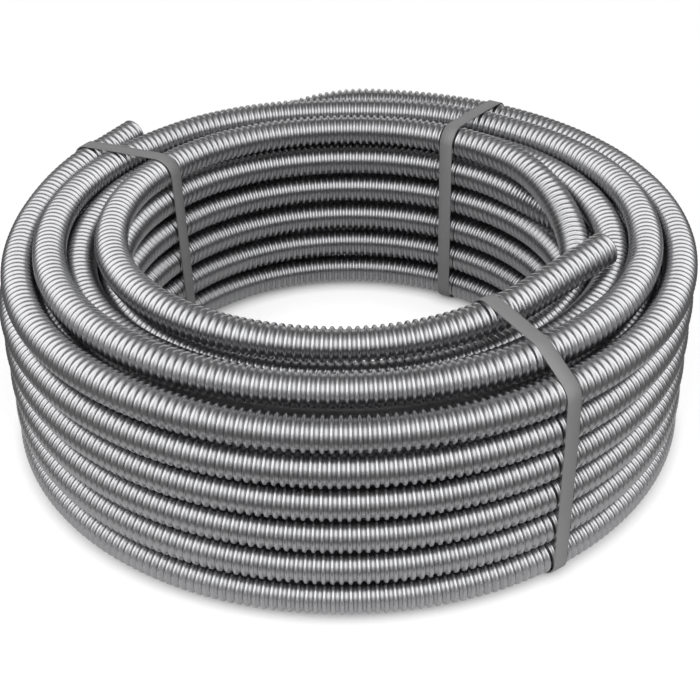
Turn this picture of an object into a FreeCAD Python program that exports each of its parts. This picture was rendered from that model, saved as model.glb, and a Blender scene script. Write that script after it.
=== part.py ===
import FreeCAD
import Part
import math
import os

# Sizes in millimetres

# Conduit
conduit_od = 20.0
conduit_wall = 2.0
end_bore_depth = 24.0

# Coil of turns, four columns wide and six rows high
outer_turn_radius = 197.5
column_nesting = 0.9
turn_rows = 6
row_gap = 1.3
second_column_rise = 8.3
third_row_gap = 0.5
inner_row_gap = 2.2
inner_top_gap = 5.0
inner_top_lean = 4.5
second_top_lean = conduit_od * 0.25
third_top_lean = conduit_od * 0.15
second_bed_drop = conduit_od * 0.2
inner_fifth_lean = conduit_od * 0.22

# Free end that leaves the outside of the coil
outer_end_leaves_at = 144.0
outer_end_lifts_from = 168.0
outer_end_lift = 2.4
outer_end_reach = 28.0
outer_top_spread = 1.4
outer_top_spreads = (200.0, 330.0)

# Free end that lies on the inner columns
inner_end_leaves_at = -50.5
inner_end_lifts_from = -115.0
inner_end_lift = 2.8
inner_end_reach = 77.0

# Where each top turn goes down between the turns below it
outer_dive = (85.0, 135.0)
inner_dive = (40.0, -12.0)
dive_overlap = 4.0

# Binding straps
strap_width = 9.0
strap_thickness = 0.8
strap_clearance = 0.3
strap_angles = {
    "strap_left": 148.0,
    "strap_back": 58.0,
    "strap_front": -57.0,
}

conduit_id = conduit_od - 2 * conduit_wall
turn_radius = conduit_od / 2
column_step = conduit_od - column_nesting
row_step = conduit_od + row_gap
third_row_step = conduit_od + third_row_gap
inner_row_step = conduit_od + inner_row_gap
dive_sideways = conduit_od
dive_down = conduit_od + dive_overlap
first_row = strap_thickness + strap_clearance + turn_radius
column_radii = [outer_turn_radius - i * column_step for i in range(4)]
inner_turn_radius = column_radii[3]
outer_top = first_row + (turn_rows - 1) * row_step
second_top = outer_top + second_column_rise
third_top = first_row + (turn_rows - 1) * third_row_step
inner_top = first_row + (turn_rows - 1) * inner_row_step + inner_top_gap


def row_heights(start, step, count):
    return [start + k * step for k in range(count)]


# Heights of the level turns in each column, outermost column first
columns = [
    row_heights(first_row, row_step, turn_rows - 1),
    row_heights(first_row + second_column_rise, row_step, turn_rows - 1),
    row_heights(first_row, third_row_step, turn_rows - 1),
    row_heights(first_row, inner_row_step, turn_rows - 2),
]
inner_fifth = first_row + (turn_rows - 2) * inner_row_step + inner_fifth_lean


def polar(radius, degrees, height):
    angle = math.radians(degrees)
    return FreeCAD.Vector(radius * math.cos(angle), radius * math.sin(angle), height)


# Share of the way from one angle to another, held between nought and one
def share(degrees, start, end):
    return min(max((degrees - start) / (end - start), 0.0), 1.0)


def eased(part):
    return part * part * (3 - 2 * part)


# Centre of the outer column's top turn, followed anticlockwise from its free end
def outer_top_centre(degrees):
    lift = outer_end_lift * share(degrees, outer_end_lifts_from, outer_end_leaves_at) ** 2
    dive = eased(share(degrees, 360 + outer_dive[0], 360 + outer_dive[1]))
    radius = outer_turn_radius + outer_top_spread * eased(share(degrees, *outer_top_spreads))
    return polar(radius - dive_sideways * dive, degrees, outer_top + lift - dive_down * dive)


# Centre of the inner column's top turn, followed clockwise from its free end
def inner_top_centre(degrees):
    lean = inner_top_lean * math.sin(math.radians(degrees))
    lift = inner_end_lift * share(degrees, inner_end_lifts_from, inner_end_leaves_at) ** 2
    dive = eased(share(degrees, inner_dive[0] - 360, inner_dive[1] - 360))
    return polar(inner_turn_radius + dive_sideways * dive, degrees, inner_top - lean + lift - dive_down * dive)


# Height of a top turn that lies aslant, higher in front than at the back
def aslant(height, lean, degrees):
    return height - lean * math.sin(math.radians(degrees))


def aslant_turn(radius, height, lean):
    slope = math.asin(lean / radius)
    upright = FreeCAD.Vector(0, math.sin(slope), math.cos(slope))
    return Part.makeTorus(radius, turn_radius, FreeCAD.Vector(0, 0, height), upright)


def section_point(radius, height):
    return FreeCAD.Vector(radius, 0, height)


def wound_turns():
    outline = [
        section_point(column_radii[0], columns[0][0]),
        section_point(column_radii[0], columns[0][-1]),
        section_point(column_radii[1], second_top - second_bed_drop),
        section_point(column_radii[3], inner_fifth - inner_fifth_lean),
        section_point(column_radii[3], columns[3][0]),
    ]
    section = Part.Face(Part.makePolygon(outline + outline[:1]))
    discs = []
    for radius, heights in zip(column_radii, columns):
        for height in heights:
            edge = Part.makeCircle(turn_radius, section_point(radius, height), FreeCAD.Vector(0, 1, 0))
            discs.append(Part.Face(Part.Wire(edge)))
    section = section.fuse(discs).removeSplitter()
    return section.revolve(FreeCAD.Vector(0, 0, 0), FreeCAD.Vector(0, 0, 1), 360)


# Arc from one point to the next that starts along the given direction
def tangent_arc(start, heading, end):
    chord = end - start
    along = FreeCAD.Vector(chord).normalize()
    side = heading - along * heading.dot(along)
    half_angle = math.asin(min(side.Length, 1.0))
    middle = start + chord / 2 + side.normalize() * (chord.Length / 2 * math.tan(half_angle / 2))
    arc = Part.Arc(start, middle, end).toShape()
    return arc, (along * 2 * heading.dot(along) - heading).normalize()


# Free end and top turn as one run of a straight and tangent arcs
def top_turn(centre, first, last, step, reach):
    turning = math.copysign(1.0, last - first)
    first_point = centre(first)
    heading = (centre(first + turning) - centre(first)).normalize()
    heading = (heading * 2 - (centre(first + 2 * turning) - centre(first + turning)).normalize()).normalize()
    tip = first_point - heading * reach
    outward = heading * -1
    edges = [Part.makeLine(tip, first_point)]
    count = math.ceil(abs(last - first) / step)
    for k in range(1, count + 1):
        next_point = centre(first + (last - first) * k / count)
        arc, heading = tangent_arc(first_point, heading, next_point)
        edges.append(arc)
        first_point = next_point
    mouth = Part.Wire(Part.makeCircle(turn_radius, tip, outward))
    tube = Part.Wire(edges).makePipeShell([mouth], True, False)
    return tube, tip, outward


def end_bore(tip, outward):
    return Part.makeCylinder(conduit_id / 2, end_bore_depth, tip, outward * -1)


arc_step = 24.0
outer_turn, outer_tip, outer_outward = top_turn(
    outer_top_centre, outer_end_leaves_at, 360 + outer_dive[1], arc_step, outer_end_reach)
inner_turn, inner_tip, inner_outward = top_turn(
    inner_top_centre, inner_end_leaves_at, inner_dive[1] - 360, arc_step, inner_end_reach)


def conduit():
    second_turn = aslant_turn(column_radii[1], second_top, second_top_lean)
    third_turn = aslant_turn(column_radii[2], third_top, third_top_lean)
    fifth_turn = aslant_turn(column_radii[3], inner_fifth, inner_fifth_lean)
    body = wound_turns().fuse([second_turn, third_turn, fifth_turn, outer_turn, inner_turn])
    return body.cut([end_bore(outer_tip, outer_outward), end_bore(inner_tip, inner_outward)])


# A strap drawn tight around the turns at one angle of the coil
def strap(degrees):
    outer_centre = outer_top_centre(degrees if degrees > outer_end_leaves_at else degrees + 360)
    corners = [
        section_point(column_radii[0], columns[0][0]),
        section_point(math.hypot(outer_centre.x, outer_centre.y), outer_centre.z),
        section_point(column_radii[1], aslant(second_top, second_top_lean, degrees)),
        section_point(inner_turn_radius, inner_top_centre(degrees).z),
        section_point(inner_turn_radius, columns[3][0]),
    ]
    around = Part.Face(Part.makePolygon(corners + corners[:1]))
    inside = around.makeOffset2D(turn_radius + strap_clearance)
    outside = around.makeOffset2D(turn_radius + strap_clearance + strap_thickness)
    band = outside.cut(inside).extrude(FreeCAD.Vector(0, strap_width, 0))
    band.translate(FreeCAD.Vector(0, -strap_width / 2, 0))
    band.rotate(FreeCAD.Vector(0, 0, 0), FreeCAD.Vector(0, 0, 1), degrees)
    return band


os.makedirs("parts", exist_ok=True)

nodes = {"conduit": conduit()}
for name, degrees in strap_angles.items():
    nodes[name] = strap(degrees)

for name, shape in nodes.items():
    shape.exportStep("parts/" + name + ".step")
    print(name, shape.isValid(), len(shape.Solids), round(shape.Volume), shape.BoundBox)
print("outer turn", outer_turn.isValid(), round(outer_turn.Volume), "tip", outer_tip, outer_outward)
print("inner turn", inner_turn.isValid(), round(inner_turn.Volume), "tip", inner_tip, inner_outward)
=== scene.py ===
import bmesh
import bpy
import math

from bpy.props import FloatProperty, FloatVectorProperty, IntProperty, PointerProperty
from mathutils import Matrix, Vector


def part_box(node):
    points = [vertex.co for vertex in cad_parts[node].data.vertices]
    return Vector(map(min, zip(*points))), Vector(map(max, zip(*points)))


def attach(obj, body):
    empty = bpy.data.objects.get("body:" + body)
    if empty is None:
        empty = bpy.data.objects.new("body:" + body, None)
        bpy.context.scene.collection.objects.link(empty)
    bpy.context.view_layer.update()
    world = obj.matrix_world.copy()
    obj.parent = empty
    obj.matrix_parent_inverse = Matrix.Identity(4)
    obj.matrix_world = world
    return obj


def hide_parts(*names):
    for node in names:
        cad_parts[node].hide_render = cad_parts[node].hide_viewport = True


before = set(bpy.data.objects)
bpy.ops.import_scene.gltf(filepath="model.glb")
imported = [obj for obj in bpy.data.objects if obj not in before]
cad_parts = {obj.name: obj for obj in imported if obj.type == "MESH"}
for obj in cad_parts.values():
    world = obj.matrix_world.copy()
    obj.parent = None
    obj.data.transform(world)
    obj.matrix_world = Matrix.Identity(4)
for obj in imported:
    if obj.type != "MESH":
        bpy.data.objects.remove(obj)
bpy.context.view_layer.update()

bl_info = {
    "name": "Strapped conduit coil",
    "version": (1, 0, 0),
    "blender": (4, 5, 0),
    "location": "3D View > Sidebar > Conduit coil",
    "description": "Dresses the packed coil of flexible metal conduit with ribs, straps and finishes",
    "category": "Object",
}

MM = 0.001

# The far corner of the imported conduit, from which the outer turns take their radius
CONDUIT_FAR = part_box("conduit")[1]

# The angle round the coil at which each strap lies, 0 on the right and 90 at the back
STRAP_NODES = {"strap_left": 148.0, "strap_back": 58.0, "strap_front": -57.0}

# How far each strap's run down the eye slants aside, in millimetres at its foot
STRAP_SLANT = {"strap_left": -8.0, "strap_back": 0.0, "strap_front": 0.0}

# 1 for a run that slants evenly, less for one that bends aside near the top
STRAP_BEND = 0.7

# Columns and rows of turns are counted from 0, outside in and bottom up
INNER_COLUMN = 3
LAST_ROW = 4

# One rib and one groove along the conduit: where the rings lie, as shares of the
# pitch, and how deep each lies, as shares of the groove
RIB_RINGS = ((0.0, 0.0), (0.14, 0.08), (0.25, 0.5), (0.37, 0.94),
             (0.63, 0.94), (0.75, 0.5), (0.86, 0.08), (1.0, 0.0))
COARSE_RINGS = ((0.0, 0.0), (0.22, 0.64), (0.5, 1.0), (0.78, 0.64), (1.0, 0.0))


# Node trees

class Value:
    """A number or a vector in a node tree, on which sums add Math nodes."""

    def __init__(self, nodes, socket):
        self.nodes = nodes
        self.socket = socket

    def __add__(self, other):
        return self.nodes.math("ADD", self, other)

    def __radd__(self, other):
        return self.nodes.math("ADD", other, self)

    def __sub__(self, other):
        return self.nodes.math("SUBTRACT", self, other)

    def __rsub__(self, other):
        return self.nodes.math("SUBTRACT", other, self)

    def __mul__(self, other):
        return self.nodes.math("MULTIPLY", self, other)

    def __rmul__(self, other):
        return self.nodes.math("MULTIPLY", other, self)

    def __truediv__(self, other):
        return self.nodes.math("DIVIDE", self, other)

    def __mod__(self, other):
        return self.nodes.math("FLOORED_MODULO", self, other)

    def __gt__(self, other):
        return self.nodes.math("GREATER_THAN", self, other)

    def __lt__(self, other):
        return self.nodes.math("LESS_THAN", self, other)

    def math(self, operation, *others):
        return self.nodes.math(operation, self, *others)


class Nodes:
    """Adds nodes to one tree."""

    def __init__(self, tree):
        self.tree = tree

    def feed(self, socket, value):
        if isinstance(value, Value):
            self.tree.links.new(value.socket, socket)
        elif value is not None:
            socket.default_value = value

    def math(self, operation, *values):
        node = self.tree.nodes.new("ShaderNodeMath")
        node.operation = operation
        for socket, value in zip(node.inputs, values):
            self.feed(socket, value)
        return Value(self, node.outputs[0])

    def add(self, kind, settings=None, sockets=None, output=0):
        """A node with its settings or curve points, and then its sockets."""
        node = self.tree.nodes.new(kind)
        for name, setting in (settings or {}).items():
            if name == "points":
                curve = node.mapping.curves[0]
                while len(curve.points) < len(setting):
                    curve.points.new(0.5, 0.5)
                for point, (across, up) in zip(curve.points, setting):
                    point.location = (across, up)
                    point.handle_type = "VECTOR"
                node.mapping.update()
            else:
                setattr(node, name, setting)
        for name, value in (sockets or {}).items():
            self.feed(node.inputs[name], value)
        return Value(self, node.outputs[output]) if len(node.outputs) else None

    def vector(self, operation, *values, **more):
        node = self.tree.nodes.new("ShaderNodeVectorMath")
        node.operation = operation
        for socket, value in zip(node.inputs, values):
            self.feed(socket, value)
        for name, value in more.items():
            self.feed(node.inputs[name], value)
        return Value(self, node.outputs["Value" if operation == "LENGTH" else "Vector"])


def new_material(name):
    material = bpy.data.materials.new(name)
    material.use_nodes = True
    material.node_tree.nodes.clear()
    return material, Nodes(material.node_tree)


def finish_material(nodes, surface):
    nodes.add("ShaderNodeOutputMaterial", {}, {"Surface": surface})


def noise(nodes, place, scale, detail, roughness=0.5):
    sockets = {"Vector": place, "Scale": scale, "Detail": detail, "Roughness": roughness}
    return nodes.add("ShaderNodeTexNoise", {}, sockets, "Fac")


def shade(nodes, level, colour):
    """A colour darkened to a level that varies over the surface."""
    black = (0.0, 0.0, 0.0, 1.0)
    full = tuple(colour) + (1.0,)
    return nodes.add("ShaderNodeMix", {"data_type": "RGBA"}, {0: level, 6: black, 7: full}, 2)


# Finishes

def steel_finish(colours):
    """Bare steel strip with a fine grain and a cloudy sheen, darker and rougher in the grooves."""
    material, nodes = new_material("steel strip")
    place = nodes.add("ShaderNodeTexCoord", {}, {}, "Object")
    groove = nodes.add("ShaderNodeAttribute", {"attribute_name": "groove"}, {}, "Fac")
    cloud = noise(nodes, place, scale=38.0, detail=3.0, roughness=0.55)
    fine = noise(nodes, place, scale=900.0, detail=4.0, roughness=0.6)
    # the colour is darker towards the bottom of each groove
    grey = shade(nodes, 0.93 + 0.14 * cloud - 0.12 * groove, colours.steel)
    roughness = 0.2 + 0.08 * fine + 0.07 * cloud + 0.05 * groove
    bump = nodes.add("ShaderNodeBump", {}, {"Strength": 0.12, "Distance": 0.0002, "Height": fine}, "Normal")
    finish_material(nodes, nodes.add("ShaderNodeBsdfPrincipled", {}, {
        "Base Color": grey, "Roughness": roughness, "Metallic": 1.0, "Normal": bump}))


def core_finish(colours):
    """The turns inside the coil, which stay in the dark, in the steel colour painted darker as shade."""
    material, nodes = new_material("inner turns steel in painted shade")
    place = nodes.add("ShaderNodeTexCoord", {}, {}, "Object")
    cloud = noise(nodes, place, scale=60.0, detail=3.0)
    finish_material(nodes, nodes.add("ShaderNodeBsdfPrincipled", {}, {
        # painted shade: the steel colour darkened to 0.55-0.8 of its level for the hidden turns
        "Base Color": shade(nodes, 0.55 + 0.25 * cloud, colours.steel),
        "Roughness": 0.35 + 0.1 * cloud, "Metallic": 1.0}))


def strap_finish(colours):
    """Matte plastic band with a fine grain and a dusty bloom."""
    material, nodes = new_material("strap plastic")
    place = nodes.add("ShaderNodeTexCoord", {}, {}, "Object")
    cloud = noise(nodes, place, scale=55.0, detail=4.0, roughness=0.6)
    fine = noise(nodes, place, scale=1400.0, detail=2.0)
    grey = shade(nodes, 0.86 + 0.2 * cloud + 0.08 * fine, colours.strap)
    bump = nodes.add("ShaderNodeBump", {}, {"Strength": 0.25, "Distance": 0.0003, "Height": fine}, "Normal")
    finish_material(nodes, nodes.add("ShaderNodeBsdfPrincipled", {}, {
        "Base Color": grey, "Roughness": 0.5 + 0.12 * cloud, "Normal": bump}))


def within(nodes, reach, full_to, none_from):
    """1 up to one distance from the middle of the floor, easing to 0 at another."""
    return nodes.add("ShaderNodeMapRange", {"interpolation_type": "SMOOTHSTEP"}, {
        "Value": reach, "From Min": full_to, "From Max": none_from, "To Min": 1.0, "To Max": 0.0}, "Result")


def floor_finish(colours):
    """Pale floor, white to the camera, which the steel sees pale near the coil and dim further off. Its glow
    carries a painted contact shadow where the coil stands close.
    """
    material, nodes = new_material("pale floor")
    reach = nodes.vector("LENGTH", nodes.add("ShaderNodeTexCoord", {}, {}, "Object"))
    near = within(nodes, reach, full_to=0.25, none_from=0.32)
    eye = within(nodes, reach, full_to=0.07, none_from=0.13)
    ray = nodes.add("ShaderNodeLightPath").socket.node
    camera = Value(nodes, ray.outputs["Is Camera Ray"])
    through = Value(nodes, ray.outputs["Is Transmission Ray"])
    mirrored = Value(nodes, ray.outputs["Is Glossy Ray"]).math("MAXIMUM", through)
    lit = nodes.add("ShaderNodeBsdfDiffuse", {}, {"Color": shade(nodes, 0.15 + 0.45 * near, colours.floor)})
    # painted contact shadow: the glow to the camera darkens where the coil stands within 10 mm
    open_air = nodes.add("ShaderNodeAmbientOcclusion", {"samples": 8}, {"Distance": 0.01}, "AO")
    to_camera = (0.9 - 0.3 * near + 0.2 * eye) * (0.15 + 0.85 * open_air) * camera
    to_steel = (0.04 + 0.1 * near) * mirrored
    lift = nodes.add("ShaderNodeEmission", {}, {
        "Color": tuple(colours.floor) + (1.0,), "Strength": to_camera + to_steel})
    finish_material(nodes, nodes.add("ShaderNodeAddShader", {}, {0: lit, 1: lift}))
    return material


# Ribbed conduit along a path

def ribbed_tree(rings):
    """A node tree that winds ribs round whatever path it is given."""
    tree = bpy.data.node_groups.new("Ribbed conduit", "GeometryNodeTree")
    face = tree.interface
    face.new_socket("Geometry", in_out="OUTPUT", socket_type="NodeSocketGeometry")
    face.new_socket("Path", in_out="INPUT", socket_type="NodeSocketGeometry")
    for name in ("Outside radius", "Rib pitch", "Groove depth", "Wall",
                 "Crowded side", "Crowding", "Mouth depth", "Rib lean"):
        face.new_socket(name, in_out="INPUT", socket_type="NodeSocketFloat")
    face.new_socket("Points round", in_out="INPUT", socket_type="NodeSocketInt")
    face.new_socket("Closed loop", in_out="INPUT", socket_type="NodeSocketBool")
    face.new_socket("Finish", in_out="INPUT", socket_type="NodeSocketMaterial")

    nodes = Nodes(tree)
    given = tree.nodes.new("NodeGroupInput")
    take = {socket.name: Value(nodes, socket) for socket in given.outputs if socket.name}
    ring_count = len(rings) - 1
    points_round = take["Points round"]
    length = nodes.add("GeometryNodeCurveLength", {}, {"Curve": take["Path"]})
    ribs = (length / take["Rib pitch"]).math("ROUND")
    pitch = length / ribs
    open_run = 1 - take["Closed loop"]
    spare = 2 * open_run
    body_rows = (ribs + 2 * spare) * ring_count
    mouth_rows = ((take["Mouth depth"] / pitch).math("ROUND") + 2) * ring_count * open_run
    rows = body_rows + mouth_rows + 1

    grid = nodes.add("GeometryNodeMeshGrid", {}, {
        "Size X": 1.0, "Size Y": 1.0, "Vertices X": rows, "Vertices Y": points_round + 1})
    index = nodes.add("GeometryNodeInputIndex")
    row = ((index + 0.5) / (points_round + 1)).math("FLOOR")
    turn = (index - row * (points_round + 1)) / points_round * (2 * math.pi)
    angle = turn - take["Crowding"] * (turn - take["Crowded side"]).math("SINE")

    # Rows past the end fold back inside the mouth
    inside = row > (body_rows + 0.5)
    folded = body_rows - (row - body_rows).math("ABSOLUTE")
    rib = (folded / ring_count + 0.001).math("FLOOR")
    ring = folded / ring_count - rib
    places = [(k / ring_count, rings[k][0]) for k in range(ring_count + 1)]
    ring_place = nodes.add("ShaderNodeFloatCurve", {"points": places}, {"Value": ring})
    twist = angle / (2 * math.pi) * take["Rib lean"]
    along = (rib - spare + ring_place - twist) * pitch
    held = along.math("MAXIMUM", 0.0).math("MINIMUM", length)
    wrapped = along % length
    reach = held * open_run + wrapped * take["Closed loop"]
    part = (reach / pitch + twist).math("FRACT") * open_run + ring_place * take["Closed loop"]
    depth_share = nodes.add("ShaderNodeFloatCurve", {"points": list(rings)}, {"Value": part})
    first = row < 0.5
    last = row > (body_rows + mouth_rows - 0.5)
    ended = (first + last).math("MINIMUM", 1.0) * open_run
    wall = take["Wall"] * inside
    radius = (take["Outside radius"] - take["Groove depth"] * depth_share - wall) * (1 - ended)

    sampled = nodes.add("GeometryNodeSampleCurve", {"mode": "LENGTH"},
                        {"Curves": take["Path"], "Length": reach})
    point = Value(nodes, sampled.socket.node.outputs["Position"])
    heading = Value(nodes, sampled.socket.node.outputs["Tangent"])
    side = nodes.vector("NORMALIZE", nodes.vector("CROSS_PRODUCT", heading, (0.0, 0.0, 1.0)))
    up = nodes.vector("CROSS_PRODUCT", side, heading)
    across = nodes.vector("SCALE", side, Scale=radius * angle.math("COSINE"))
    over = nodes.vector("SCALE", up, Scale=radius * angle.math("SINE"))
    spot = nodes.vector("ADD", nodes.vector("ADD", across, over), point)

    shape = nodes.add("GeometryNodeSetPosition", {}, {"Geometry": grid, "Position": spot})
    shape = nodes.add("GeometryNodeStoreNamedAttribute", {"data_type": "FLOAT", "domain": "POINT"},
                      {"Geometry": shape, "Name": "groove", "Value": depth_share})
    shape = nodes.add("GeometryNodeMergeByDistance", {}, {"Geometry": shape, "Distance": 0.00001})
    shape = nodes.add("GeometryNodeSetShadeSmooth", {}, {"Geometry": shape, "Shade Smooth": True})
    shape = nodes.add("GeometryNodeRealizeInstances", {}, {"Geometry": shape})
    shape = nodes.add("GeometryNodeSetMaterial", {}, {"Geometry": shape, "Material": take["Finish"]})
    leave = tree.nodes.new("NodeGroupOutput")
    tree.links.new(shape.socket, leave.inputs["Geometry"])
    return tree


def run_tree(path, closed, tree, values):
    """The ribbed conduit along a path, as a plain mesh."""
    curve = bpy.data.curves.new("path", "CURVE")
    curve.dimensions = "3D"
    spline = curve.splines.new("POLY")
    spline.points.add(len(path) - 1)
    for point, place in zip(spline.points, path):
        point.co = (*place, 1.0)
    spline.use_cyclic_u = closed
    carrier = bpy.data.objects.new("path", curve)
    bpy.context.scene.collection.objects.link(carrier)
    modifier = carrier.modifiers.new("Ribs", "NODES")
    modifier.node_group = tree
    for item in tree.interface.items_tree:
        if item.item_type == "SOCKET" and item.in_out == "INPUT" and item.name in values:
            modifier[item.identifier] = values[item.name]
    ready = carrier.evaluated_get(bpy.context.evaluated_depsgraph_get())
    mesh = bpy.data.meshes.new_from_object(ready)
    bpy.data.objects.remove(carrier)
    bpy.data.curves.remove(curve)
    return mesh


def joined(name, meshes, material):
    """One object from several meshes."""
    work = bmesh.new()
    for mesh in meshes:
        work.from_mesh(mesh)
    whole = bpy.data.meshes.new(name)
    work.to_mesh(whole)
    work.free()
    for mesh in meshes:
        bpy.data.meshes.remove(mesh)
    whole.materials.clear()
    whole.materials.append(material)
    for polygon in whole.polygons:
        polygon.material_index = 0
    piece = bpy.data.objects.new(name, whole)
    bpy.context.scene.collection.objects.link(piece)
    return piece


def finish_rings(name, work, rings):
    """A closed smooth mesh over rings of points, the last ring joined to the first."""
    for near, far in zip(rings, rings[1:] + rings[:1]):
        for k in range(len(near)):
            n = (k + 1) % len(near)
            work.faces.new((near[k], far[k], far[n], near[n]))
    bmesh.ops.recalc_face_normals(work, faces=work.faces)
    mesh = bpy.data.meshes.new(name)
    work.to_mesh(mesh)
    work.free()
    mesh.shade_smooth()
    return mesh


def settle(piece, node):
    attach(piece, "root")
    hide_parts(node)


# Paths of the turns, in millimetres and degrees

def smooth_between(stations, degrees):
    """The value at an angle between stations, eased from one to the next."""
    for (left, low), (right, high) in zip(stations, stations[1:]):
        if left <= degrees <= right:
            share = (degrees - left) / (right - left)
            return low + (high - low) * share * share * (3 - 2 * share)
    return stations[0][1] if degrees < stations[0][0] else stations[-1][1]


def on_coil(radius, degrees, height):
    turn = math.radians(degrees)
    return Vector((radius * math.cos(turn), radius * math.sin(turn), height)) * MM


# Where the straight tip of each free end leaves its turn, how long the tip is and how it rises
OUTER_END_ANGLE, OUTER_END_REACH, OUTER_END_RISE = 144.0, 28.0, 0.06
INNER_END_ANGLE, INNER_END_REACH, INNER_END_RISE = -46.5, 67.0, 0.06

# Where the other end of each of these two turns is hidden between the rows
OUTER_HIDDEN_ANGLE = 495.0
INNER_HIDDEN_ANGLE = -712.0

# Radius and height of each top turn at angles round the coil, 0 on the right and 270 in front
OUTER_TOP = {
    "radius": [(OUTER_END_ANGLE, 198.5), (180, 194.5), (225, 196.5), (270, 197.7), (360, 198.9),
               (445, 198.9), (OUTER_HIDDEN_ANGLE, 178.9)],
    "height": [(OUTER_END_ANGLE, 120.5), (170, 117.8), (270, 118.6), (360, 118.0),
               (445, 116.4), (OUTER_HIDDEN_ANGLE, 93.6)],
}
SECOND_TOP = {
    "radius": [(0, 178.4), (90, 178.4), (180, 175.5), (270, 178.4), (360, 178.4)],
    "height": [(0, 126.0), (60, 119.5), (90, 118.2), (130, 121.0), (180, 126.0), (270, 131.0), (360, 126.0)],
}
THIRD_TOP = {
    "radius": [(0, 161.0), (90, 159.3), (270, 159.3), (360, 161.0)],
    "height": [(0, 115.4), (90, 110.6), (180, 113.6), (270, 116.6), (360, 115.4)],
}
# The inner top turn and the turn below it are one helix
INNER_TOP = {
    "radius": [(INNER_HIDDEN_ANGLE, 158.2), (-684, 140.2), (-180, 139.4), (INNER_END_ANGLE, 140.2)],
    "height": [(INNER_HIDDEN_ANGLE, 93.0), (-684, 101.5), (-630, 99.9), (-540, 105.5), (-450, 111.2),
               (-372, 107.0), (-320, 123.5), (-270, 122.6), (-180, 127.1), (-90, 131.8),
               (INNER_END_ANGLE, 133.6)],
}

# How much each outer row stands above its even place, lowest row first
OUTER_ROW_RISE = (0.2, 0.7, 1.1, 1.3, 1.3)

# How much each inner row stands higher in front than at the back, lowest row first
INNER_FRONT_RISE = (0.0, 1.0, 3.5, 7.0)

# Degrees from one point of a path to the next
PATH_STEP = 1.5

# The core's ridge between the top turns: how far inside the second column, and how high
CORE_RIDGE = ((0.0, 104.6), (7.4, 113.5), (13.4, 113.5))


def place_on(track, degrees):
    radius = smooth_between(track["radius"], degrees)
    return on_coil(radius, degrees, smooth_between(track["height"], degrees))


def loop(track):
    count = round(360 / PATH_STEP)
    return [place_on(track, 360 * k / count) for k in range(count)]


def free_end(track, first, last, reach, rise):
    """A straight tip of that reach, and then the turn from its first angle to its last."""
    step = math.copysign(PATH_STEP, last - first)
    count = round((last - first) / step)
    turn = [place_on(track, first + (last - first) * k / count) for k in range(count + 1)]
    heading = (turn[0] - turn[1]).normalized()
    heading.z = rise
    heading.normalize()
    pieces = 12
    straight = [turn[0] + heading * (reach * MM * (1 - k / pieces)) for k in range(pieces)]
    return straight + turn


def level_loop(radius, height):
    return loop({"radius": [(0, radius), (360, radius)], "height": [(0, height), (360, height)]})


# Sizes and colours

class ConduitSizes(bpy.types.PropertyGroup):
    outside_diameter: FloatProperty(name="Outside diameter", description="Across the rib crowns",
                                    default=0.02, unit="LENGTH")
    rib_pitch: FloatProperty(name="Rib pitch", description="From one rib crown to the next",
                             default=0.00452, unit="LENGTH", precision=5)
    groove_depth: FloatProperty(name="Groove depth", description="From rib crown to groove bottom",
                                default=0.0018, unit="LENGTH", precision=5)
    rib_lean: FloatProperty(name="Rib lean", description="0 for rings, 1 for a helix of one start",
                            default=0.0, min=0.0, max=1.0)
    wall: FloatProperty(name="Wall", description="Thickness of the steel strip",
                        default=0.00025, unit="LENGTH", precision=5)
    mouth_depth: FloatProperty(name="Mouth depth", description="How deep each cut end is open",
                               default=0.024, unit="LENGTH")
    points_round: IntProperty(name="Points round", description="Points round one ring of the conduit",
                              default=19, min=8, max=48)
    outer_turn_radius: FloatProperty(name="Outer turn radius", description="Middle of the outermost turns",
                                     default=round(CONDUIT_FAR[0] - 0.01, 4), unit="LENGTH")
    column_step: FloatProperty(name="Column step", description="From one column of turns to the next",
                               default=0.0191, unit="LENGTH", precision=5)
    first_row: FloatProperty(name="First row", description="Height of the lowest turns",
                             default=0.0111, unit="LENGTH", precision=5)
    row_step: FloatProperty(name="Row step", description="From one outer turn to the next",
                            default=0.0213, unit="LENGTH", precision=5)
    inner_row_step: FloatProperty(name="Inner row step", description="From one inner turn to the next",
                                  default=0.0222, unit="LENGTH", precision=5)
    second_column_rise: FloatProperty(name="Second column rise",
                                      description="How much the second column stands up",
                                      default=0.0083, unit="LENGTH", precision=5)
    third_row_step: FloatProperty(name="Third column row step",
                                  description="From one turn of the third column to the next",
                                  default=0.0205, unit="LENGTH", precision=5)


class StrapSizes(bpy.types.PropertyGroup):
    width: FloatProperty(name="Width", description="Across the band", default=0.009, unit="LENGTH")
    thickness: FloatProperty(name="Thickness", description="Of the band",
                             default=0.0008, unit="LENGTH", precision=5)
    clearance: FloatProperty(name="Clearance", description="Between the band and the turns",
                             default=0.0003, unit="LENGTH", precision=5)


class Finishes(bpy.types.PropertyGroup):
    steel: FloatVectorProperty(name="Steel", description="Colour of the bare steel strip",
                               default=(0.45, 0.45, 0.46), subtype="COLOR", min=0.0, max=1.0)
    strap: FloatVectorProperty(name="Strap", description="Colour of the plastic straps",
                               default=(0.23, 0.23, 0.23), subtype="COLOR", min=0.0, max=1.0)
    floor: FloatVectorProperty(name="Floor", description="Colour of the floor",
                               default=(1.0, 1.0, 1.0), subtype="COLOR", min=0.0, max=1.0)


def conduit_values(sizes, finish, closed, side, crowding=0.4, points_round=None):
    """What the tree takes. Points crowd to one side: 0 on the right of the path, 90 on top."""
    return {
        "Outside radius": sizes.outside_diameter / 2,
        "Rib pitch": sizes.rib_pitch,
        "Groove depth": sizes.groove_depth,
        "Wall": sizes.wall,
        "Mouth depth": sizes.mouth_depth,
        "Crowded side": math.radians(side),
        "Crowding": crowding,
        "Points round": points_round or sizes.points_round,
        "Rib lean": sizes.rib_lean,
        "Closed loop": closed,
        "Finish": finish,
    }


# Operators

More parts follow.
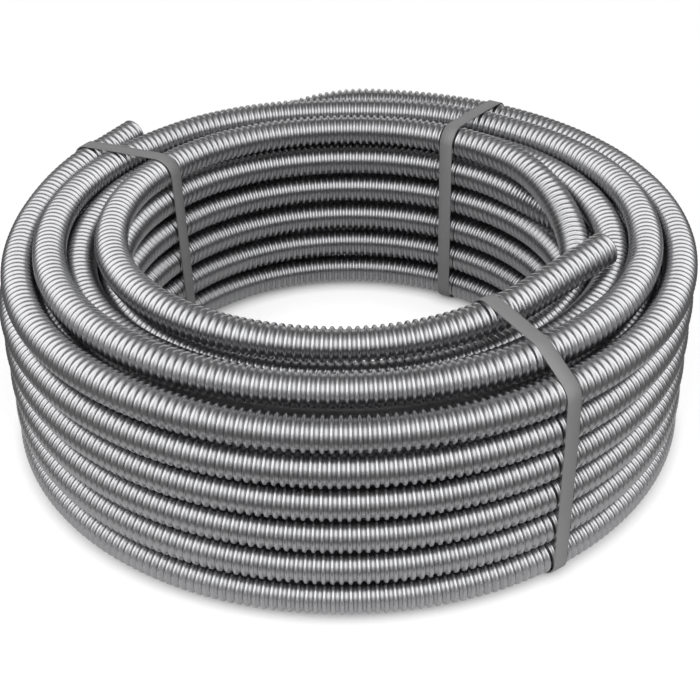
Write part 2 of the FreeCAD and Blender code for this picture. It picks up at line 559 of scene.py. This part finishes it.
class OuterTurnsOperator(bpy.types.Operator):
    """Winds the ribbed turns that show on the outside of the coil"""
    bl_idname = "conduit.outer_turns"
    bl_label = "Outer turns"

    def execute(self, context):
        sizes = context.scene.conduit_sizes
        tree = ribbed_tree(RIB_RINGS)
        steel = bpy.data.materials["steel strip"]
        radius = sizes.outer_turn_radius / MM
        for group, rows in enumerate(((0, 1), (2, 3), (LAST_ROW,))):
            meshes = []
            for k in rows:
                height = (sizes.first_row + k * sizes.row_step) / MM + OUTER_ROW_RISE[k]
                path = level_loop(radius, height)
                values = conduit_values(sizes, steel, True, side=20.0)
                meshes.append(run_tree(path, True, tree, values))
            settle(joined("outer_turns_%d" % (group + 1), meshes, steel), "conduit")
        return {"FINISHED"}


class InnerTurnsOperator(bpy.types.Operator):
    """Winds the ribbed turns that show round the eye of the coil"""
    bl_idname = "conduit.inner_turns"
    bl_label = "Inner turns"

    def execute(self, context):
        sizes = context.scene.conduit_sizes
        tree = ribbed_tree(RIB_RINGS)
        steel = bpy.data.materials["steel strip"]
        radius = (sizes.outer_turn_radius - INNER_COLUMN * sizes.column_step) / MM
        for group, rows in enumerate(((0, 1), (2, 3))):
            meshes = []
            for k in rows:
                low = (sizes.first_row + k * sizes.inner_row_step) / MM
                high = low + INNER_FRONT_RISE[k]
                middle = low + INNER_FRONT_RISE[k] / 2
                heights = [(0, middle), (90, low), (180, middle), (270, high), (360, middle)]
                path = loop({"radius": [(0, radius), (360, radius)], "height": heights})
                values = conduit_values(sizes, steel, True, side=160.0)
                meshes.append(run_tree(path, True, tree, values))
            settle(joined("inner_turns_%d" % (group + 1), meshes, steel), "conduit")
        return {"FINISHED"}


class TopTurnsOperator(bpy.types.Operator):
    """Winds the top turns, two of which end in a cut end"""
    bl_idname = "conduit.top_turns"
    bl_label = "Top turns"

    def execute(self, context):
        sizes = context.scene.conduit_sizes
        tree = ribbed_tree(RIB_RINGS)
        steel = bpy.data.materials["steel strip"]
        outer = free_end(OUTER_TOP, OUTER_END_ANGLE, OUTER_HIDDEN_ANGLE, OUTER_END_REACH, OUTER_END_RISE)
        outer.reverse()
        inner = free_end(INNER_TOP, INNER_END_ANGLE, INNER_HIDDEN_ANGLE, INNER_END_REACH, INNER_END_RISE)
        inner.reverse()
        # Each turn's piece, its path, whether it closes, and the side its points crowd to
        runs = (
            ("outer_top_turn", outer, False, 120.0),
            ("second_top_turn", loop(SECOND_TOP), True, 90.0),
            ("third_top_turn", loop(THIRD_TOP), True, 90.0),
            ("inner_top_turn", inner, False, 90.0),
        )
        for name, path, closed, side in runs:
            mesh = run_tree(path, closed, tree, conduit_values(sizes, steel, closed, side))
            settle(joined(name, [mesh], steel), "conduit")
        return {"FINISHED"}


class BottomTurnsOperator(bpy.types.Operator):
    """Winds the turns below and above the core, coarser than the rest"""
    bl_idname = "conduit.bottom_turns"
    bl_label = "Bottom turns"

    def execute(self, context):
        sizes = context.scene.conduit_sizes
        tree = ribbed_tree(COARSE_RINGS)
        steel = bpy.data.materials["steel strip"]
        radius = sizes.outer_turn_radius / MM
        step = sizes.column_step / MM
        second = sizes.first_row + sizes.second_column_rise
        turns = (
            (radius - step, second, -90.0),
            (radius - 2 * step, sizes.first_row, -90.0),
            (radius - step, second + LAST_ROW * sizes.row_step, 90.0),
        )
        meshes = []
        for place, height, side in turns:
            values = conduit_values(sizes, steel, True, side, crowding=0.3, points_round=10)
            meshes.append(run_tree(level_loop(place, height / MM), True, tree, values))
        settle(joined("bottom_turns", meshes, steel), "conduit")
        return {"FINISHED"}


class CoreOperator(bpy.types.Operator):
    """Turns one plain core that stands for the hidden turns inside the coil"""
    bl_idname = "conduit.core"
    bl_label = "Core of hidden turns"

    def execute(self, context):
        sizes = context.scene.conduit_sizes
        steel = bpy.data.materials["inner turns steel in painted shade"]
        outer = (sizes.outer_turn_radius - sizes.column_step) / MM
        inner = outer - sizes.column_step / MM
        outer_low = (sizes.first_row + sizes.second_column_rise) / MM
        inner_low = sizes.first_row / MM
        hidden_rows = range(1, LAST_ROW)

        def side(radius, height, first):
            """The hidden side of one turn, 0.6 mm inside its crowns, from its first angle on."""
            tube, points, step = 9.4, 7, 24
            turns = [math.radians(first + step * k) for k in range(points)]
            return [(radius + tube * math.cos(turn), height + tube * math.sin(turn)) for turn in turns]

        outline = []
        for k in hidden_rows:
            outline += side(outer, outer_low + k * sizes.row_step / MM, -72)
        # The ridge keeps light from falling between the top turns
        outline += [(outer - inside, height) for inside, height in CORE_RIDGE]
        for k in (LAST_ROW, *reversed(hidden_rows)):
            outline += side(inner, inner_low + k * sizes.third_row_step / MM, 108)

        work = bmesh.new()
        rounds = 120
        rings = []
        for j in range(rounds):
            rings.append([work.verts.new(on_coil(r, 360 * j / rounds, z)) for r, z in outline])
        mesh = finish_rings("core", work, rings)
        settle(joined("core", [mesh], steel), "conduit")
        return {"FINISHED"}


def hull(points):
    """The convex outline round flat points, anticlockwise."""
    points = sorted(set(points))

    def half(run):
        kept = []
        for p in run:
            while len(kept) > 1 and ((kept[-1][0] - kept[-2][0]) * (p[1] - kept[-2][1])
                                     - (kept[-1][1] - kept[-2][1]) * (p[0] - kept[-2][0])) <= 0:
                kept.pop()
            kept.append(p)
        return kept[:-1]

    return half(points) + half(points[::-1])


def strap_outline(sizes, strap, degrees):
    """The line that a tight band takes round the turns at one angle, in radius and height."""
    around = degrees % 360
    outer = around if around >= OUTER_END_ANGLE else around + 360
    inner = around - 360 if around - 360 <= INNER_END_ANGLE else around - 720
    radius = sizes.outer_turn_radius / MM
    eye = radius - INNER_COLUMN * sizes.column_step / MM
    low = sizes.first_row / MM
    centres = [(radius, low), (eye, low), (radius, low + LAST_ROW * sizes.row_step / MM),
               (eye, low + LAST_ROW * sizes.inner_row_step / MM)]
    tops = ((OUTER_TOP, outer), (SECOND_TOP, around), (THIRD_TOP, around), (INNER_TOP, inner))
    for track, angle in tops:
        centres.append((smooth_between(track["radius"], angle), smooth_between(track["height"], angle)))
    reach = sizes.outside_diameter / 2 / MM + strap.clearance / MM
    points = []
    step = 5
    for r, z in centres:
        for k in range(360 // step):
            turn = math.radians(step * k)
            points.append((round(r + reach * math.cos(turn), 4), round(z + reach * math.sin(turn), 4)))
    return hull(points)


def strap_mesh(name, degrees, sizes, strap):
    """A flat band round the turns at one angle."""
    outline = strap_outline(sizes, strap, degrees)
    low, high = min(r for r, z in outline), max(r for r, z in outline)
    top = max(z for r, z in outline)
    half = strap.width / 2 / MM
    thick = strap.thickness / MM
    edge = 0.18
    profile = ((-half + edge, 0.0), (half - edge, 0.0), (half, edge), (half, thick - edge),
               (half - edge, thick), (-half + edge, thick), (-half, thick - edge), (-half, edge))
    turn = math.radians(degrees)
    out = Vector((math.cos(turn), math.sin(turn), 0.0))
    aside = Vector((-math.sin(turn), math.cos(turn), 0.0))
    work = bmesh.new()
    rings = []
    for k, (r, z) in enumerate(outline):
        r_before, z_before = outline[k - 1]
        r_after, z_after = outline[(k + 1) % len(outline)]
        along = Vector((r_after - r_before, z_after - z_before)).normalized()
        normal = Vector((along.y, -along.x))
        eyeward = smooth_between([(0.0, 1.0), (1.0, 0.0)], (r - low) / (high - low))
        slant = STRAP_SLANT[name] * eyeward * max(0.0, 1 - z / top) ** STRAP_BEND
        ring = []
        for across, rise in profile:
            place = out * (r + normal.x * rise) + aside * (across + slant)
            place.z = z + normal.y * rise
            ring.append(work.verts.new(place * MM))
        rings.append(ring)
    return finish_rings(name, work, rings)


class StrapsOperator(bpy.types.Operator):
    """Draws the three plastic straps tight round the turns"""
    bl_idname = "conduit.straps"
    bl_label = "Straps"

    def execute(self, context):
        plastic = bpy.data.materials["strap plastic"]
        for name, degrees in STRAP_NODES.items():
            mesh = strap_mesh(name, degrees, context.scene.conduit_sizes, context.scene.strap_sizes)
            settle(joined(name + "_band", [mesh], plastic), name)
        return {"FINISHED"}


# Where the camera stood for the photograph, in metres and degrees
CAMERA_PLACE = (0.00176, -0.72709, 0.52686)
CAMERA_TILT, CAMERA_ROLL = 34.14, -1.0
CAMERA_SENSOR, CAMERA_LENS = 36.0, 70.55

# Each lamp's place, what it is aimed at, its width, height and level
COIL_MIDDLE = (0.0, 0.0, 0.07)
LAMPS = {
    "broad softbox": ((0.0, -0.85, 1.15), (0.0, 0.15, 0.15), 4.6, 3.1, 0.55),
    "key softbox": ((0.0, -1.05, 1.12), COIL_MIDDLE, 4.2, 1.3, 1.45),
    "back strip": ((0.0, 1.9, 0.6), COIL_MIDDLE, 3.6, 1.0, 0.8),
}
ROOM_LEVEL = 0.22
FLOOR_REACH = 6.0


def hang_lamp(name, place, aim, width, height, level):
    light = bpy.data.lights.new(name, "AREA")
    light.shape = "RECTANGLE"
    light.size = width
    light.size_y = height
    light.energy = level * math.pi * width * height
    source = bpy.data.objects.new(name, light)
    bpy.context.scene.collection.objects.link(source)
    aimed = (Vector(aim) - Vector(place)).to_track_quat("-Z", "Y").to_matrix().to_4x4()
    source.matrix_world = Matrix.Translation(place) @ aimed
    source.visible_camera = False


class StageOperator(bpy.types.Operator):
    """Lays the floor and sets the lamps, the room and the camera"""
    bl_idname = "conduit.stage"
    bl_label = "Stage"

    def execute(self, context):
        scene = context.scene
        mesh = bpy.data.meshes.new("floor")
        corners = [(x * FLOOR_REACH, y * FLOOR_REACH, 0) for x, y in ((-1, -1), (1, -1), (1, 1), (-1, 1))]
        mesh.from_pydata(corners, [], [(0, 1, 2, 3)])
        mesh.materials.append(floor_finish(scene.coil_finishes))
        floor = bpy.data.objects.new("floor", mesh)
        scene.collection.objects.link(floor)

        for name, lamp in LAMPS.items():
            hang_lamp(name, *lamp)
        room = bpy.data.worlds.new("room")
        room.use_nodes = True
        background = room.node_tree.nodes["Background"]
        background.inputs["Color"].default_value = (1.0, 1.0, 1.0, 1.0)
        background.inputs["Strength"].default_value = ROOM_LEVEL
        scene.world = room

        data = bpy.data.cameras.new("camera")
        data.sensor_width = CAMERA_SENSOR
        data.lens = CAMERA_LENS
        camera = bpy.data.objects.new("camera", data)
        scene.collection.objects.link(camera)
        camera.matrix_world = (Matrix.Translation(CAMERA_PLACE)
                               @ Matrix.Rotation(math.radians(90 - CAMERA_TILT), 4, "X")
                               @ Matrix.Rotation(math.radians(CAMERA_ROLL), 4, "Z"))
        scene.camera = camera
        scene.view_settings.view_transform = "Standard"
        return {"FINISHED"}


class CoilPanel(bpy.types.Panel):
    bl_idname = "VIEW3D_PT_conduit_coil"
    bl_label = "Conduit coil"
    bl_space_type = "VIEW_3D"
    bl_region_type = "UI"
    bl_category = "Conduit coil"

    def draw(self, context):
        layout = self.layout
        for group in (context.scene.conduit_sizes, context.scene.strap_sizes, context.scene.coil_finishes):
            box = layout.box()
            for name in group.__annotations__:
                box.prop(group, name)
        for operator in OPERATORS:
            layout.operator(operator.bl_idname)


OPERATORS = (OuterTurnsOperator, InnerTurnsOperator, TopTurnsOperator, BottomTurnsOperator,
             CoreOperator, StrapsOperator, StageOperator)
CLASSES = (ConduitSizes, StrapSizes, Finishes) + OPERATORS + (CoilPanel,)


def register():
    for kind in CLASSES:
        bpy.utils.register_class(kind)
    bpy.types.Scene.conduit_sizes = PointerProperty(type=ConduitSizes)
    bpy.types.Scene.strap_sizes = PointerProperty(type=StrapSizes)
    bpy.types.Scene.coil_finishes = PointerProperty(type=Finishes)


def unregister():
    del bpy.types.Scene.coil_finishes
    del bpy.types.Scene.strap_sizes
    del bpy.types.Scene.conduit_sizes
    for kind in reversed(CLASSES):
        bpy.utils.unregister_class(kind)


def main():
    register()
    finishes = bpy.context.scene.coil_finishes
    steel_finish(finishes)
    core_finish(finishes)
    strap_finish(finishes)
    for operator in OPERATORS:
        group, call = operator.bl_idname.split(".")
        if getattr(getattr(bpy.ops, group), call)() != {"FINISHED"}:
            raise RuntimeError(operator.bl_label + " didn't finish")


if __name__ == "__main__":
    main()
